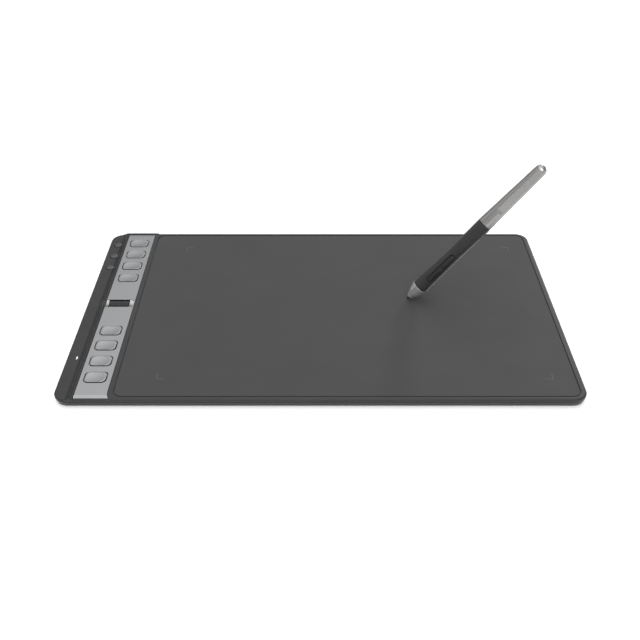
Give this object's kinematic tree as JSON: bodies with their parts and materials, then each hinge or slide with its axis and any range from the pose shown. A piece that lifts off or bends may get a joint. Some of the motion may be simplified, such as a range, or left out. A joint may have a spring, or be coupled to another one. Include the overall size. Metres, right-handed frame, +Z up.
{
  "type": "pen drawing tablet",
  "caption": "Thin dark pen tablet with a silver key strip, round keys and a scroll roller on the left, and its tapered pen leaning on the drawing sheet.",
  "frame": {"origin": "centre of the tablet's footprint, on the plane its rubber feet stand on", "axes": "+X right along the long side, away from the key strip; +Y to the back; +Z up out of the drawing sheet"},
  "size_m": [0.3514, 0.2092, 0.1138],
  "materials": {
    "shell_plastic": "fine textured dark grey",
    "draw_sheet": "matt, paper-like",
    "silver_paint": "satin silver",
    "key_dark": "satin dark grey",
    "roller_rubber": "matt, grooved",
    "core_plastic": "plain",
    "foot_rubber": "matt",
    "grip_rubber": "soft matt",
    "pen_silver": "satin warm silver",
    "nib_plastic": "smooth",
    "steel": "plain",
    "copper": "enamelled wire",
    "ferrite": "sintered",
    "board_green": "solder mask",
    "chip_black": "moulded",
    "adhesive": "film",
    "connector": "moulded",
    "light_pipe": "frosted"
  },
  "bodies": {
    "tablet": {"top_cover": "shell_plastic", "bottom_cover": "shell_plastic", "rubber_feet": "foot_rubber", "case_screws": "steel", "work_surface": "draw_sheet", "surface_tape": "adhesive", "sensor_board": "board_green", "shield_sheet": "steel", "control_panel": "silver_paint", "panel_tape": "adhesive", "status_light": "light_pipe", "wheel_cradle": "silver_paint", "wheel_sensor": "chip_black", "detent_spring": "steel", "control_board": "board_green", "control_chips": "chip_black", "key_switches": "steel", "group_key_switches": "steel", "usb_shell": "steel", "usb_tongue": "chip_black", "ribbon_connectors": "connector", "ribbon_cable": "connector"},
    "scroll_wheel": {"wheel_tyre": "roller_rubber", "wheel_core": "core_plastic", "wheel_magnet": "ferrite", "wheel_axle": "steel"},
    "pen": {"pen_barrel": "pen_silver", "pen_grip": "grip_rubber", "pen_nose_cone": "pen_silver", "pen_switch_pin": "steel", "pen_ferrite": "ferrite", "pen_coil": "copper", "pen_pressure_sensor": "steel", "pen_board": "board_green", "pen_switches": "steel"},
    "nib": {"pen_nib": "nib_plastic", "pen_nib_holder": "core_plastic"},
    "side_switch": {"pen_side_switch": "key_dark"},
    "press_key_1": {"press_key_1": "silver_paint"},
    "press_key_2": {"press_key_2": "silver_paint"},
    "press_key_3": {"press_key_3": "silver_paint"},
    "press_key_4": {"press_key_4": "silver_paint"},
    "press_key_5": {"press_key_5": "silver_paint"},
    "press_key_6": {"press_key_6": "silver_paint"},
    "press_key_7": {"press_key_7": "silver_paint"},
    "press_key_8": {"press_key_8": "silver_paint"},
    "group_key_1": {"group_key_1": "key_dark"},
    "group_key_2": {"group_key_2": "key_dark"},
    "group_key_3": {"group_key_3": "key_dark"}
  },
  "joints": [
    {"name": "press_key_1_travel", "type": "slide", "parent": "tablet", "child": "press_key_1", "axis": [0, 0, -1], "range_m": [0, 0.0007], "stiffness_N_per_m": 700, "springref_m": -0.0006},
    {"name": "press_key_2_travel", "type": "slide", "parent": "tablet", "child": "press_key_2", "axis": [0, 0, -1], "range_m": [0, 0.0007], "stiffness_N_per_m": 700, "springref_m": -0.0006},
    {"name": "press_key_3_travel", "type": "slide", "parent": "tablet", "child": "press_key_3", "axis": [0, 0, -1], "range_m": [0, 0.0007], "stiffness_N_per_m": 700, "springref_m": -0.0006},
    {"name": "press_key_4_travel", "type": "slide", "parent": "tablet", "child": "press_key_4", "axis": [0, 0, -1], "range_m": [0, 0.0007], "stiffness_N_per_m": 700, "springref_m": -0.0006},
    {"name": "press_key_5_travel", "type": "slide", "parent": "tablet", "child": "press_key_5", "axis": [0, 0, -1], "range_m": [0, 0.0007], "stiffness_N_per_m": 700, "springref_m": -0.0006},
    {"name": "press_key_6_travel", "type": "slide", "parent": "tablet", "child": "press_key_6", "axis": [0, 0, -1], "range_m": [0, 0.0007], "stiffness_N_per_m": 700, "springref_m": -0.0006},
    {"name": "press_key_7_travel", "type": "slide", "parent": "tablet", "child": "press_key_7", "axis": [0, 0, -1], "range_m": [0, 0.0007], "stiffness_N_per_m": 700, "springref_m": -0.0006},
    {"name": "press_key_8_travel", "type": "slide", "parent": "tablet", "child": "press_key_8", "axis": [0, 0, -1], "range_m": [0, 0.0007], "stiffness_N_per_m": 700, "springref_m": -0.0006},
    {"name": "group_key_1_travel", "type": "slide", "parent": "tablet", "child": "group_key_1", "axis": [0, 0, -1], "range_m": [0, 0.0004], "stiffness_N_per_m": 900, "springref_m": -0.0005},
    {"name": "group_key_2_travel", "type": "slide", "parent": "tablet", "child": "group_key_2", "axis": [0, 0, -1], "range_m": [0, 0.0004], "stiffness_N_per_m": 900, "springref_m": -0.0005},
    {"name": "group_key_3_travel", "type": "slide", "parent": "tablet", "child": "group_key_3", "axis": [0, 0, -1], "range_m": [0, 0.0004], "stiffness_N_per_m": 900, "springref_m": -0.0005},
    {"name": "scroll_wheel_spin", "type": "hinge", "parent": "tablet", "child": "scroll_wheel", "pos_m": [-0.1514, 0.00205, 0.0056], "axis": [1, 0, 0], "continuous": true},
    {"name": "pen_lift", "type": "slide", "parent": "tablet", "child": "pen", "axis": [0, 0, 1], "range_m": [0, 0.06]},
    {"name": "nib_travel", "type": "slide", "parent": "pen", "child": "nib", "axis": [0.6459, 0.0725, 0.7599], "range_m": [0, 0.0005], "stiffness_N_per_m": 2000, "springref_m": -0.0002},
    {"name": "side_switch_rock", "type": "hinge", "parent": "pen", "child": "side_switch", "pos_m": [0.0893, 0.00813, 0.0356], "axis": [0.7527, -0.2265, -0.6182], "range_deg": [-2.2, 2.2], "stiffness_Nm_per_rad": 0.3}
  ]
}
